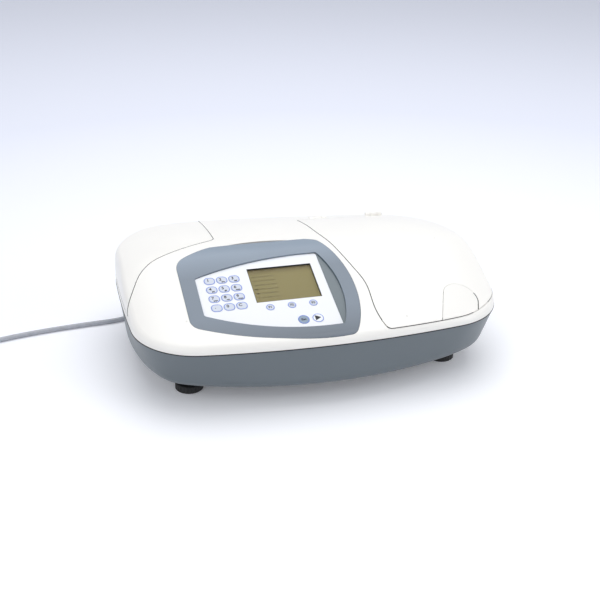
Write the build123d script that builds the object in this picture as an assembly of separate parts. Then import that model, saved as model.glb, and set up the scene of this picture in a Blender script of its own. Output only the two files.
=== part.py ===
from build123d import *
import math
import os

# Bench spectrophotometer with a domed casing, a sprung keypad and a hinged sample lid.
# Millimetres, +Z up, front towards -Y. The origin is on the bench under the middle of the case.

# Case outline in plan: four shallow arcs with rounded corners
CASE_LENGTH = 510.0
CASE_DEPTH = 350.0
END_BOW = 7.0
FRONT_BOW = 25.0
CORNER_RADIUS = 90.0

# Case heights and walls
FLOOR_Z = 28.0
SEAM_Z = 87.0
GASKET_THICKNESS = 1.2
CASE_WALL = 3.0
HULL_END_RADIUS = 56.0
HULL_EDGE_RADIUS = 20.0
RIM_RADIUS = 12.0

# Crown of the top casing: a sloped keypad face that runs into a gently domed crest
KEYPAD_TILT = 19.74
KEYPAD_Y = -78.0
KEYPAD_Z = 122.5
BEZEL_RISE = 3.0
NOSE_Z = 98.5
NOSE_SLOPE = 0.10
CREST_Z = 156.0
CREST_Y = 7.5
CREST_BEND = 0.0006
END_ROLL = 22.0
END_ROLL_POWER = 6
REAR_ROLL = 12.0
REAR_ROLL_START = -30.0
CROWN_TWIST = 13.0
BLEND = 4.0
SHOULDER_TOP = 161.0
SHOULDER_RADIUS = 44.0

# Seams between casing, lid and lamp cover
LID_GAP = 1.0
COVER_SIDE_GAP = 0.8
COVER_SEAT_GAP = 0.3
LID_SEAM_Z = 98.5
LID_REAR_Y = 118.0
LID_CORNER_RADIUS = 14.0
PARTITION_WALL = 3.0
LID_RIB = 2.0
LID_RIB_GAP = 0.3

# Lid hinge
HINGE_BACKSET = 12.0
HINGE_RISE = 2.5
HINGE_BARREL_RADIUS = 3.5
HINGE_PIN_RADIUS = 1.6
HINGE_RUNNING = 0.05
HINGE_TONGUE = 11.0
HINGE_EAR = 7.0
HINGE_SIDE_GAP = 0.5
HINGE_XS = (60.0, 150.0)

# Tube port in the lid
PORT_RADIUS = 24.0
PORT_CENTRE = (190.0, -119.0)
PORT_HEADING = 67.0
PORT_GAP = 0.5

# Keypad, in the plane of the keypad face
OVERLAY_THICKNESS = 0.8
BEZEL_FLOOR = 2.0
BEZEL_GAP = 0.4
BEZEL_LEDGE = 6.0
BEZEL_SEAT_Z = 89.0
WELL_STRIP_X = (-120.0, 40.0)
WELL_STRIP_Y = -150.0
KEY_PROUD = 0.35
KEY_TRAVEL = 0.5
KEY_GAP = 0.25
KEY_SIZE = (14.7, 13.0)
KEY_PITCH = 16.7
KEY_FIRST = (-143.2, 32.8)
SOFT_KEY_DIAMETER = 11.0
SOFT_KEY_PITCH = 29.3
SOFT_KEY_FIRST = (-73.5, -25.6)
ROUND_KEY_DIAMETER = 15.0
ROUND_KEY_PITCH = 19.4
ROUND_KEY_FIRST = (-35.3, -53.5)
SCREEN_SIZE = (89.7, 63.9)
SCREEN_CENTRE = (-44.5, 16.8)
WINDOW_MARGIN = 2.7
WINDOW_THICKNESS = 1.5
DISPLAY_DEPTH = 6.0
BOARD_THICKNESS = 1.6

# Levelling feet
FOOT_X = 181.0
FOOT_Y = 88.0
FOOT_RADIUS = 19.0
FOOT_DISC = 10.0
FOOT_STUD_RADIUS = 4.0
FOOT_STUD_TOP = 44.0
FOOT_RUNNING = 0.05
FOOT_BOSS_RADIUS = 11.0
FOOT_BOSS_TOP = 46.0
FOOT_KNURLS = 24
FOOT_KNURL_RADIUS = 1.2

# Sample compartment
BEAM_Y = -15.0
BEAM_Z = 78.0
TUB_X = (84.0, 196.0)
TUB_Y = (-112.0, 82.0)
TUB_BOTTOM = 46.0
TUB_WALL = 2.5
TUB_FLANGE = 6.0
BEAM_HOLE_RADIUS = 8.0
CELL_COUNT = 5
CELL_PITCH = 17.0
CELL_POCKET = 12.9
CELL_WALL = 3.0
CELL_FLOOR_Z = 62.0
CELL_TOP_Z = 92.0
CELL_BEAM_RADIUS = 4.0
RAIL_WIDTH = 8.0
RAIL_HEIGHT = 4.0
SLIDE_GAP = 0.3
CARRIAGE_WIDTH = 36.0
CARRIAGE_TOP = 56.0

# Optics and lamps
MONO_X = (-85.0, 62.0)
MONO_Y = (-34.0, 125.0)
MONO_Z = (36.0, 84.0)
MONO_WALL = 4.0
MONO_COVER = 3.0
LEG_RADIUS = 6.0
GRATING_SIZE = (6.0, 32.0, 26.0)
GRATING_AT = (-50.0, 96.0)
MIRROR_RADIUS = 14.0
MIRROR_THICKNESS = 6.0
LAMP_X = (-166.0, -98.0)
LAMP_Y = (18.0, 104.0)
LAMP_Z = (36.0, 98.0)
LAMP_WALL = 2.0
LAMP_BEAM_Y = 61.0
BULB_RADIUS = 11.0
WHEEL_X = -91.5
WHEEL_RADIUS = 22.0
WHEEL_THICKNESS = 3.0
WHEEL_SHAFT_RADIUS = 2.0
DETECTOR_SIZE = (30.0, 40.0, 34.0)

# Rear panel and what it carries
RECESS_X = (-165.0, 45.0)
RECESS_Z = (35.0, 81.0)
RECESS_WALL = 5.0
PANEL_Y = 161.0
PANEL_THICKNESS = 1.6
PANEL_LEDGE = 3.0
PANEL_GAP = 0.3
PANEL_MID_Z = 58.0
INLET_X = -130.0
INLET_SIZE = (28.0, 21.0)
INLET_POCKET = (24.4, 16.4)
INLET_DEPTH = 18.0
INLET_FLANGE = (34.0, 27.0, 2.0)
BLADE = (2.0, 4.0, 13.0)
FUSE_X = -98.0
FUSE_SIZE = (14.0, 20.0, 22.0)
SWITCH_X = -70.0
SWITCH_SIZE = (13.0, 20.0)
SOCKET_X = -40.0
FAN_X = 15.0
FAN_SIZE = 38.0
FAN_DEPTH = 14.0
FAN_BLADES = 7

# Mains lead
CORD_RADIUS = 3.5
COIL_RADIUS = 38.0
COIL_CENTRE = (-512.0, 118.0)
COIL_LAYERS = 3
COIL_COLUMNS = 2
PLUG_RADIUS = 18.0
PLUG_LENGTH = 34.0
PLUG_RELIEF = 42.0
PLUG_PIN = (2.4, 19.0)
PLUG_PIN_SPREAD = 9.5
PLUG_TUCK = 5.0
CORD_ROUTE = (
    (-130.0, 212.0, 58.0),
    (-130.0, 238.0, 58.0),
    (-131.0, 264.0, 47.0),
    (-138.0, 284.0, 27.0),
    (-152.0, 296.0, 8.0),
    (-176.0, 294.0, 3.5),
    (-198.0, 274.0, 3.5),
    (-206.0, 240.0, 3.5),
    (-200.0, 204.0, 3.5),
    (-199.0, 168.0, 3.5),
    (-214.0, 138.0, 3.5),
    (-245.0, 123.5, 3.5),
    (-290.0, 121.0, 3.5),
    (-345.0, 116.0, 3.5),
    (-400.0, 107.0, 3.5),
    (-445.0, 95.0, 3.5),
    (-475.0, 82.0, 3.5),
    (-500.0, 76.5, 3.5),
)

os.makedirs("parts", exist_ok=True)
TILT = math.radians(KEYPAD_TILT)
HALF_LENGTH = CASE_LENGTH / 2
HALF_DEPTH = CASE_DEPTH / 2
RIM_LOW = SEAM_Z - GASKET_THICKNESS / 2
RIM_HIGH = SEAM_Z + GASKET_THICKNESS / 2
FLOOR_TOP = FLOOR_Z + CASE_WALL
DECK_TOP = LID_SEAM_Z - LID_GAP
DECK_UNDER = DECK_TOP - PARTITION_WALL
FAR = 320.0
SKY = 200.0
KEYPAD_PLANE = Plane(
    origin=(0, KEYPAD_Y, KEYPAD_Z),
    x_dir=(1, 0, 0),
    z_dir=(0, -math.sin(TILT), math.cos(TILT)),
)


def span(x, y, z):
    """Box between the low and high values of each axis."""
    low = (x[0], y[0], z[0])
    size = (x[1] - x[0], y[1] - y[0], z[1] - z[0])
    return Pos(*low) * Box(*size, align=(Align.MIN, Align.MIN, Align.MIN))


def rod_x(radius, x0, x1, y, z):
    return Pos((x0 + x1) / 2, y, z) * Rot(0, 90, 0) * Cylinder(radius, x1 - x0)


def rod_y(radius, y0, y1, x, z):
    return Pos(x, (y0 + y1) / 2, z) * Rot(90, 0, 0) * Cylinder(radius, y1 - y0)


def rod_z(radius, z0, z1, x, y):
    return Pos(x, y, (z0 + z1) / 2) * Cylinder(radius, z1 - z0)


def grown(face, amount):
    if amount == 0:
        return face
    return offset(face, amount, kind=Kind.INTERSECTION)


def prism(face, z0, z1):
    return extrude(Pos(0, 0, z0) * face, z1 - z0)


def side_normals(start, middle, end, heart):
    """Unit normals of one side at its start, middle and end, pointing away from heart."""
    if middle is None:
        middle = ((start[0] + end[0]) / 2, (start[1] + end[1]) / 2)
        line = Vector(end[1] - start[1], start[0] - end[0]).normalized()
        normals = [line, line, line]
    else:
        centre = ThreePointArc(start, middle, end).arc_center
        normals = [(Vector(*p) - centre).normalized() for p in (start, middle, end)]
    outward = Vector(*middle) - Vector(*heart)
    if normals[1].dot(outward) < 0:
        normals = [n * -1 for n in normals]
    return normals


def bowed_face(corners, middles, radii, grow=0.0):
    """Closed outline of arcs through each middle, corners rounded, all moved out by grow."""
    count = len(corners)
    heart = (sum(c[0] for c in corners) / count, sum(c[1] for c in corners) / count)
    normals = []
    for index in range(count):
        normals.append(side_normals(corners[index], middles[index], corners[(index + 1) % count], heart))
    moved = []
    for index, corner in enumerate(corners):
        before = normals[index - 1][2]
        after = normals[index][0]
        moved.append(Vector(*corner) + (before + after) * (grow / (1 + before.dot(after))))
    edges = []
    for index, middle in enumerate(middles):
        ends = (moved[index], moved[(index + 1) % count])
        if middle is None:
            edges.append(Line(*ends))
        else:
            edges.append(ThreePointArc(ends[0], Vector(*middle) + normals[index][1] * grow, ends[1]))
    face = make_face(Curve() + edges)
    for corner, radius in zip(moved, radii):
        nearest = face.vertices().sort_by_distance(corner)[0]
        face = fillet(nearest, radius + grow)
    return face


def case_outline(inset=0.0):
    cx = HALF_LENGTH - END_BOW
    cy = HALF_DEPTH - FRONT_BOW
    return bowed_face(
        ((-cx, -cy), (cx, -cy), (cx, cy), (-cx, cy)),
        ((0, -HALF_DEPTH), (HALF_LENGTH, 0), (0, HALF_DEPTH), (-HALF_LENGTH, 0)),
        (CORNER_RADIUS,) * 4,
        -inset,
    )


def smooth_low(a, b):
    """Lower of two heights, with their crossing rounded."""
    low = min(a, b)
    return low - BLEND * math.log(math.exp((low - a) / BLEND) + math.exp((low - b) / BLEND))


def smooth_high(a, b):
    return -smooth_low(-a, -b)


def crown_z(x, y):
    """Height of the outside of the top casing above the bench."""
    face = KEYPAD_Z + BEZEL_RISE + math.tan(TILT) * (y - KEYPAD_Y)
    nose = NOSE_Z + NOSE_SLOPE * (y + HALF_DEPTH)
    crest = CREST_Z - CREST_BEND * (y - CREST_Y) ** 2
    across = x / HALF_LENGTH
    back = max(0.0, (y - REAR_ROLL_START) / (HALF_DEPTH - REAR_ROLL_START))
    roll = END_ROLL * across**END_ROLL_POWER + (REAR_ROLL + CROWN_TWIST * across) * back**2
    return smooth_low(smooth_high(face, nose), crest) - roll


def casing_form(inset=0.0):
    """Solid inside the top casing's outer skin, or inset from it by a wall."""
    columns = 26
    rows = 24
    reach_x = HALF_LENGTH + 8
    reach_y = HALF_DEPTH + 8
    grid = []
    for i in range(columns + 1):
        x = -reach_x + 2 * reach_x * i / columns
        line = []
        for j in range(rows + 1):
            y = -reach_y + 2 * reach_y * j / rows
            line.append(Vector(x, y, crown_z(x, y) - inset))
        grid.append(line)
    sheet = Face.make_surface_from_array_of_points(grid, tol=0.02)
    under = extrude(sheet, amount=SKY, dir=(0, 0, -1))
    block = prism(case_outline(inset), FLOOR_Z, SHOULDER_TOP - inset)
    block = fillet(block.faces().sort_by(Axis.Z)[-1].edges(), SHOULDER_RADIUS - inset)
    body = block & under
    rim = body.faces().filter_by(GeomType.BSPLINE).sort_by(SortBy.AREA)[-1]
    body = fillet(rim.edges(), RIM_RADIUS - inset)
    low = RIM_HIGH - (10 if inset else 0)
    return body & prism(case_outline(), low, SKY)


def hull_form(inset=0.0):
    """Solid inside the base tray's outer skin: plan outline with rounded ends and lower edge."""
    top = RIM_LOW + (10 if inset else 0)
    block = prism(case_outline(inset), FLOOR_Z + inset, top)
    lower = block.faces().sort_by(Axis.Z)[0]
    block = fillet(lower.edges(), HULL_EDGE_RADIUS - inset)
    width = CASE_LENGTH - 2 * inset
    tall = 2 * (top - FLOOR_Z - inset)
    profile = Plane.XZ * Pos(0, top) * RectangleRounded(width, tall, HULL_END_RADIUS - inset)
    return block & extrude(profile, CASE_DEPTH, both=True)


def lid_region(grow=0.0):
    edge = FilletPolyline(
        (25, LID_REAR_Y), (31, 30), (67, -80), (56, -210), radius=(150, 90)
    )
    rest = Polyline((56, -210), (FAR, -210), (FAR, LID_REAR_Y), (25, LID_REAR_Y))
    return grown(make_face(edge + rest), grow)


def lid_prism(grow=0.0):
    low = LID_SEAM_Z - grow
    block = prism(lid_region(grow), low, SKY)
    side = [e for e in block.faces().sort_by(Axis.Z)[0].edges()
            if e.center().X < 100 and abs(e.center().Y - LID_REAR_Y - grow) > 1]
    return fillet(side, LID_CORNER_RADIUS + grow)


def cover_region(grow=0.0):
    edge = FilletPolyline(
        (-118, 210), (-118, 44), (-225, 2), (-262, -70), radius=(9, 70)
    )
    rest = Polyline((-262, -70), (-FAR, -70), (-FAR, 210), (-118, 210))
    return grown(make_face(edge + rest), grow)


def cover_prism(side=0.0, below=0.0):
    return prism(cover_region(side), LID_SEAM_Z - below, SKY)


def port_region(grow=0.0):
    """Arch in plan: a round head and straight sides that run out over the front edge."""
    radius = PORT_RADIUS + grow
    head = Circle(radius)
    legs = Pos(-60, 0) * Rectangle(120, 2 * radius)
    return Pos(*PORT_CENTRE) * Rot(0, 0, PORT_HEADING) * (head + legs)


def bezel_region(grow=0.0):
    return bowed_face(
        ((-182, -8), (-182, -122), (24, -170), (22, 12)),
        (None, (-85, -161.5), (49, -75), (-70, 29)),
        (25, 20, 12, 14),
        grow,
    )


def overlay_region(inset=0.0):
    """White keypad panel, in the keypad plane."""
    return bowed_face(
        ((-161.5, 39), (-162, -30), (14.6, -72), (12.8, 67)),
        (None, (-74, -64.7), None, (-74, 61.7)),
        (3, 5, 3, 3),
        -inset,
    )


def recess_region():
    """Mouth of the keypad recess: the panel with a crescent beside its right edge."""
    return bowed_face(
        ((-161.8, 39.3), (-162.3, -30.2), (14.9, -72.4), (13.1, 67.4)),
        (None, (-74, -65.1), (29.5, 5), (-74, 62.1)),
        (3, 5, 2, 2),
    )


def on_keypad(face, low, high):
    """Extrude a face drawn in the keypad plane between two heights above it."""
    plane = KEYPAD_PLANE.offset(low)
    return extrude(plane * face, high - low)


def above_keypad(height):
    return on_keypad(Rectangle(3 * CASE_LENGTH, 3 * CASE_LENGTH), height, height + 300)


def save(node, shape):
    export_step(shape, f"parts/{node}.step")


def key_faces():
    """Outline and place of every key, by node name, in the keypad plane."""
    keys = {}
    names = ("1", "2", "3", "4", "5", "6", "7", "8", "9", "point", "0", "sign")
    pad = RectangleRounded(*KEY_SIZE, 5.6)
    for index, name in enumerate(names):
        u = KEY_FIRST[0] + KEY_PITCH * (index % 3)
        v = KEY_FIRST[1] - KEY_PITCH * (index // 3)
        keys[f"key_{name}"] = Pos(u, v) * pad
    for index in range(3):
        u = SOFT_KEY_FIRST[0] + SOFT_KEY_PITCH * index
        keys[f"key_soft_{index + 1}"] = Pos(u, SOFT_KEY_FIRST[1]) * Circle(SOFT_KEY_DIAMETER / 2)
    for index, name in enumerate(("stop", "start")):
        u = ROUND_KEY_FIRST[0] + ROUND_KEY_PITCH * index
        keys[f"key_{name}"] = Pos(u, ROUND_KEY_FIRST[1]) * Circle(ROUND_KEY_DIAMETER / 2)
    return keys


# Base tray with foot bosses and a recess for the rear panel
hull = hull_form()
hollow = hull_form(CASE_WALL)
tray = hull - hollow
foot_places = [(sx * FOOT_X, sy * FOOT_Y) for sx in (-1, 1) for sy in (-1, 1)]
for x, y in foot_places:
    tray += rod_z(FOOT_BOSS_RADIUS, FLOOR_Z, FOOT_BOSS_TOP, x, y)
frame_x = (RECESS_X[0] - RECESS_WALL, RECESS_X[1] + RECESS_WALL)
frame_z = (FLOOR_TOP - 1, RIM_LOW)
tray += hull & span(frame_x, (PANEL_Y - RECESS_WALL, FAR), frame_z)
tray -= span(RECESS_X, (PANEL_Y, FAR), RECESS_Z)
ledge_x = (RECESS_X[0] + PANEL_LEDGE, RECESS_X[1] - PANEL_LEDGE)
ledge_z = (RECESS_Z[0] + PANEL_LEDGE, RECESS_Z[1] - PANEL_LEDGE)
tray -= span(ledge_x, (PANEL_Y - 2 * RECESS_WALL, FAR), ledge_z)
for x, y in foot_places:
    tray -= rod_z(FOOT_STUD_RADIUS + FOOT_RUNNING, 0, FOOT_BOSS_TOP + 1, x, y)
save("base_tray", tray)

gasket = prism(case_outline(1.4), RIM_LOW, RIM_HIGH) - prism(case_outline(CASE_WALL), RIM_LOW, RIM_HIGH)
save("casing_gasket", gasket)

# Feet: knurled disc on a threaded stud
foot_names = ("foot_left_front", "foot_left_rear", "foot_right_front", "foot_right_rear")
for name, (x, y) in zip(foot_names, foot_places):
    disc = Cylinder(FOOT_RADIUS, FOOT_DISC, align=(Align.CENTER, Align.CENTER, Align.MIN))
    disc = chamfer(disc.edges(), 1.0)
    for index in range(FOOT_KNURLS):
        turn = Rot(0, 0, 360 * index / FOOT_KNURLS)
        disc -= turn * rod_z(FOOT_KNURL_RADIUS, -1, FOOT_DISC + 1, FOOT_RADIUS + 0.3, 0)
    stud = rod_z(FOOT_STUD_RADIUS, FOOT_DISC, FOOT_STUD_TOP, 0, 0)
    collar = rod_z(2 * FOOT_STUD_RADIUS, FOOT_DISC, FOOT_DISC + 6, 0, 0)
    save(name, Pos(x, y, 0) * (disc + stud + collar))

# Top casing: a moulded shell with a lid opening, a deck below it and a well for the bezel
outer = casing_form()
inner = casing_form(CASE_WALL)
shell = outer - inner
well = prism(bezel_region(BEZEL_GAP + CASE_WALL), RIM_HIGH + 0.4, SKY)
well += span(WELL_STRIP_X, (-HALF_DEPTH, WELL_STRIP_Y), (RIM_HIGH + 0.4, SKY))
well &= above_keypad(-OVERLAY_THICKNESS - BEZEL_FLOOR - CASE_WALL)
hollow = inner - prism(lid_region(LID_GAP + PARTITION_WALL), DECK_UNDER, SKY)
casing = outer - (hollow - well)
casing -= lid_prism(LID_GAP)
bezel_seat = prism(bezel_region(BEZEL_GAP), BEZEL_SEAT_Z, SKY)
casing -= bezel_seat & above_keypad(-OVERLAY_THICKNESS - BEZEL_FLOOR)
casing -= prism(bezel_region(-BEZEL_LEDGE), SEAM_Z, SKY)
casing -= cover_prism(COVER_SIDE_GAP, COVER_SEAT_GAP)
casing -= span(TUB_X, TUB_Y, (DECK_UNDER - 1, DECK_TOP + 1))

# Hinge: casing ears either side of each lid tongue, on one axis behind the lid's rear edge
hinge_y = LID_REAR_Y + HINGE_BACKSET
hinge_z = crown_z(HINGE_XS[1], hinge_y) + HINGE_RISE
pins = []
tongues = []
for x in HINGE_XS:
    half = HINGE_TONGUE / 2
    clear = half + HINGE_SIDE_GAP
    reach = HINGE_BARREL_RADIUS
    ear_x = (x - clear - HINGE_EAR, x + clear + HINGE_EAR)
    casing += rod_x(reach, *ear_x, hinge_y, hinge_z)
    casing += span(ear_x, (hinge_y - reach, hinge_y + reach), (hinge_z - 4 * reach, hinge_z))
    slot_y = (LID_REAR_Y - 1, hinge_y + reach + HINGE_SIDE_GAP)
    casing -= span((x - clear, x + clear), slot_y, (hinge_z - reach - HINGE_SIDE_GAP, SKY))
    pin_x = (x - clear - HINGE_EAR + 0.5, x + clear + HINGE_EAR - 0.5)
    pin = rod_x(HINGE_PIN_RADIUS, *pin_x, hinge_y, hinge_z)
    casing -= pin
    pins.append(pin)
    tongue = rod_x(reach, x - half, x + half, hinge_y, hinge_z)
    web = span((x - half, x + half), (LID_REAR_Y - HINGE_BACKSET, hinge_y), (hinge_z - reach, SKY))
    tongues.append(tongue + (web & outer))
save("top_casing", casing)
save("hinge_pins", Compound(children=pins))

# Sample lid with its light-tight rib and the arch for the tube port
lid_block = lid_prism()
lid = shell & lid_block
rib_out = Pos((TUB_X[0] + TUB_X[1]) / 2, (TUB_Y[0] + TUB_Y[1]) / 2) * RectangleRounded(
    TUB_X[1] - TUB_X[0] + 2 * TUB_FLANGE, TUB_Y[1] - TUB_Y[0] + 2 * TUB_FLANGE, 8)
rib = prism(rib_out, DECK_TOP + LID_RIB_GAP, SKY)
rib -= prism(grown(rib_out, -LID_RIB), DECK_TOP, SKY)
port_block = prism(port_region(PORT_GAP), DECK_TOP, SKY)
lid += inner & rib
for tongue in tongues:
    lid += tongue
lid -= port_block & span((0, FAR), (-FAR, 0), (DECK_TOP, SKY))
for x in HINGE_XS:
    lid -= rod_x(HINGE_PIN_RADIUS + HINGE_RUNNING, x - HINGE_TONGUE, x + HINGE_TONGUE, hinge_y, hinge_z)
save("sample_lid", lid)
save("port_cover", shell & lid_block & prism(port_region(), DECK_TOP, SKY))

# Lamp access cover, lifted off by hand
save("lamp_cover", shell & cover_prism())

# Bezel: flush with the casing, with the keypad recess and its crescent
bezel = outer & prism(bezel_region(), BEZEL_SEAT_Z, SKY)
bezel &= above_keypad(-OVERLAY_THICKNESS - BEZEL_FLOOR)
bezel -= on_keypad(overlay_region(-0.2), -OVERLAY_THICKNESS, 60)
bezel -= on_keypad(recess_region(), 0.6, 60)
window_cut = Pos(*SCREEN_CENTRE) * Rectangle(
    SCREEN_SIZE[0] + 2 * WINDOW_MARGIN, SCREEN_SIZE[1] + 2 * WINDOW_MARGIN)
bezel -= on_keypad(window_cut, -20, 1)
keys = key_faces()
for face in keys.values():
    bezel -= on_keypad(grown(face, KEY_GAP), -20, 1)
save("bezel", bezel)

overlay = on_keypad(overlay_region(), -OVERLAY_THICKNESS, 0)
overlay -= on_keypad(Pos(*SCREEN_CENTRE) * Rectangle(*SCREEN_SIZE), -5, 5)
for face in keys.values():
    overlay -= on_keypad(grown(face, KEY_GAP), -5, 5)
save("keypad_overlay", overlay)

key_low = -OVERLAY_THICKNESS - BEZEL_FLOOR + KEY_TRAVEL + 0.05
for name, face in keys.items():
    pad = on_keypad(face, key_low, KEY_PROUD)
    save(name, pad)

glass = grown(window_cut, -0.2)
window_low = -OVERLAY_THICKNESS - WINDOW_THICKNESS
save("display_window", on_keypad(glass, window_low, -OVERLAY_THICKNESS))
display_top = -OVERLAY_THICKNESS - BEZEL_FLOOR
display_face = Pos(*SCREEN_CENTRE) * Rectangle(SCREEN_SIZE[0] + 9, SCREEN_SIZE[1] + 9)
save("display_module", on_keypad(display_face, display_top - DISPLAY_DEPTH, display_top))
board_face = overlay_region(2.5) - grown(display_face, 0.5)
save("keypad_board", on_keypad(board_face, display_top - BOARD_THICKNESS, display_top))

# Sample tub hung under the deck, with its rail and beam windows
tub_mid_x = (TUB_X[0] + TUB_X[1]) / 2
tub = span((TUB_X[0] - TUB_WALL, TUB_X[1] + TUB_WALL), (TUB_Y[0] - TUB_WALL, TUB_Y[1] + TUB_WALL),
           (TUB_BOTTOM, DECK_UNDER))
tub = fillet(tub.edges().filter_by(Axis.Z), 6)
flange = span((TUB_X[0] - TUB_FLANGE, TUB_X[1] + TUB_FLANGE), (TUB_Y[0] - TUB_FLANGE, TUB_Y[1] + TUB_FLANGE),
              (DECK_UNDER - TUB_WALL, DECK_UNDER))
cavity = span(TUB_X, TUB_Y, (TUB_BOTTOM + TUB_WALL, SKY))
cavity = fillet(cavity.edges().filter_by(Axis.Z), 4)
tub = tub + flange - cavity
tub_floor = TUB_BOTTOM + TUB_WALL
rail_x = (tub_mid_x - RAIL_WIDTH / 2, tub_mid_x + RAIL_WIDTH / 2)
tub += span(rail_x, (TUB_Y[0] + 2, TUB_Y[1] - 2), (tub_floor, tub_floor + RAIL_HEIGHT))
wall_left = (TUB_X[0] - TUB_WALL, TUB_X[0])
wall_right = (TUB_X[1], TUB_X[1] + TUB_WALL)
lenses = []
for wall in (wall_left, wall_right):
    lens = rod_x(BEAM_HOLE_RADIUS, wall[0], wall[1], BEAM_Y, BEAM_Z)
    tub -= lens
    lenses.append(lens)
save("sample_tub", tub)
save("beam_windows", Compound(children=lenses))

# Cell changer: a carriage on the rail and a block with one pocket for each cell
block_length = CELL_COUNT * CELL_PITCH + CELL_WALL
block_y = (BEAM_Y - block_length / 2, BEAM_Y + block_length / 2)
carriage = span((tub_mid_x - CARRIAGE_WIDTH / 2, tub_mid_x + CARRIAGE_WIDTH / 2), block_y,
                (tub_floor + SLIDE_GAP, CARRIAGE_TOP))
groove_x = (rail_x[0] - SLIDE_GAP, rail_x[1] + SLIDE_GAP)
carriage -= span(groove_x, (block_y[0] - 1, block_y[1] + 1), (0, tub_floor + RAIL_HEIGHT + SLIDE_GAP))
save("cell_carriage", carriage)
block_width = CELL_POCKET + 3 * CELL_WALL
holder = span((tub_mid_x - block_width / 2, tub_mid_x + block_width / 2), block_y, (CARRIAGE_TOP, CELL_TOP_Z))
holder = chamfer(holder.edges().filter_by(Axis.Z), 1.5)
for index in range(CELL_COUNT):
    y = BEAM_Y + CELL_PITCH * (index - (CELL_COUNT - 1) / 2)
    half = CELL_POCKET / 2
    holder -= span((tub_mid_x - half, tub_mid_x + half), (y - half, y + half), (CELL_FLOOR_Z, SKY))
    holder -= rod_x(CELL_BEAM_RADIUS, tub_mid_x - block_width, tub_mid_x + block_width, y, BEAM_Z)
save("cell_holder", holder)

detector_low = DECK_UNDER - DETECTOR_SIZE[2]
detector = span((wall_right[1], wall_right[1] + DETECTOR_SIZE[0]),
                (BEAM_Y - DETECTOR_SIZE[1] / 2, BEAM_Y + DETECTOR_SIZE[1] / 2), (detector_low, DECK_UNDER - TUB_WALL))
detector += span((wall_right[1] + TUB_FLANGE, wall_right[1] + DETECTOR_SIZE[0]),
                 (BEAM_Y - DETECTOR_SIZE[1] / 2, BEAM_Y + DETECTOR_SIZE[1] / 2), (detector_low, DECK_UNDER))
detector -= rod_x(BEAM_HOLE_RADIUS - 2, 0, wall_right[1] + 12, BEAM_Y, BEAM_Z)
save("detector", detector)

# Monochromator: a cast box on legs with a cover, mirrors and a turning grating
mono = span(MONO_X, MONO_Y, MONO_Z)
mono = fillet(mono.edges().filter_by(Axis.Z), 8)
mono -= span((MONO_X[0] + MONO_WALL, MONO_X[1] - MONO_WALL), (MONO_Y[0] + MONO_WALL, MONO_Y[1] - MONO_WALL),
             (MONO_Z[0] + MONO_WALL, SKY))
for x in (MONO_X[0] + 12, MONO_X[1] - 12):
    for y in (MONO_Y[0] + 12, MONO_Y[1] - 12):
        mono += rod_z(LEG_RADIUS, FLOOR_TOP, MONO_Z[0] + 1, x, y)
slit = (1.0, 12.0)
mono -= span((MONO_X[0] - 1, MONO_X[0] + MONO_WALL + 1), (LAMP_BEAM_Y - slit[0] / 2, LAMP_BEAM_Y + slit[0] / 2),
             (BEAM_Z - slit[1] / 2, BEAM_Z + slit[1] / 2 - 2))
mono -= span((MONO_X[1] - MONO_WALL - 1, MONO_X[1] + 1), (BEAM_Y - slit[0] / 2, BEAM_Y + slit[0] / 2),
             (BEAM_Z - slit[1] / 2, BEAM_Z + slit[1] / 2 - 2))
grating_pin = rod_z(3, MONO_Z[0] + MONO_WALL, MONO_Z[0] + MONO_WALL + 8, *GRATING_AT)
mono += grating_pin
save("monochromator_case", mono)
mono_lid = span(MONO_X, MONO_Y, (MONO_Z[1], MONO_Z[1] + MONO_COVER))
save("monochromator_cover", fillet(mono_lid.edges().filter_by(Axis.Z), 8))
turntable_low = MONO_Z[0] + MONO_WALL + 0.3
table = rod_z(12, turntable_low, turntable_low + 8, *GRATING_AT)
table += Pos(GRATING_AT[0], GRATING_AT[1], turntable_low + 8) * Rot(0, 0, 35) * Box(
    *GRATING_SIZE, align=(Align.CENTER, Align.CENTER, Align.MIN))
table -= rod_z(3.05, 0, turntable_low + 8 + 0.3, *GRATING_AT)
save("grating", table)
mirror_floor = MONO_Z[0] + MONO_WALL
mirrors = []
for x, y, turn in ((45, 96, 160), (-20, -12, 60), (42, 40, 200)):
    plate = rod_x(MIRROR_RADIUS, -MIRROR_THICKNESS / 2, MIRROR_THICKNESS / 2, 0, mirror_floor + MIRROR_RADIUS + 6)
    plate += span((-MIRROR_THICKNESS / 2, MIRROR_THICKNESS / 2), (-10, 10), (mirror_floor, mirror_floor + 12))
    mirrors.append(Pos(x, y, 0) * Rot(0, 0, turn) * plate)
save("mirrors", Compound(children=mirrors))

# Lamp house with its two lamps, and the order-sorting filter wheel on its shaft
house = span(LAMP_X, LAMP_Y, LAMP_Z)
house -= span((LAMP_X[0] + LAMP_WALL, LAMP_X[1] - LAMP_WALL), (LAMP_Y[0] + LAMP_WALL, LAMP_Y[1] - LAMP_WALL),
              (LAMP_Z[0] + LAMP_WALL, SKY))
house -= rod_x(7, LAMP_X[1] - 5, LAMP_X[1] + 5, LAMP_BEAM_Y, BEAM_Z)
for x in (LAMP_X[0] + 10, LAMP_X[1] - 10):
    for y in (LAMP_Y[0] + 10, LAMP_Y[1] - 10):
        house += rod_z(LEG_RADIUS, FLOOR_TOP, LAMP_Z[0], x, y)
wheel_y = LAMP_BEAM_Y + 12
house += rod_x(WHEEL_SHAFT_RADIUS, LAMP_X[1] - 1, WHEEL_X + 4, wheel_y, BEAM_Z - 10)
save("lamp_housing", house)
lamp_floor = LAMP_Z[0] + LAMP_WALL
deuterium = rod_z(15, lamp_floor, lamp_floor + 14, LAMP_X[0] + 20, LAMP_BEAM_Y + 22)
deuterium += rod_z(13, lamp_floor + 14, lamp_floor + 50, LAMP_X[0] + 20, LAMP_BEAM_Y + 22)
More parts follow.
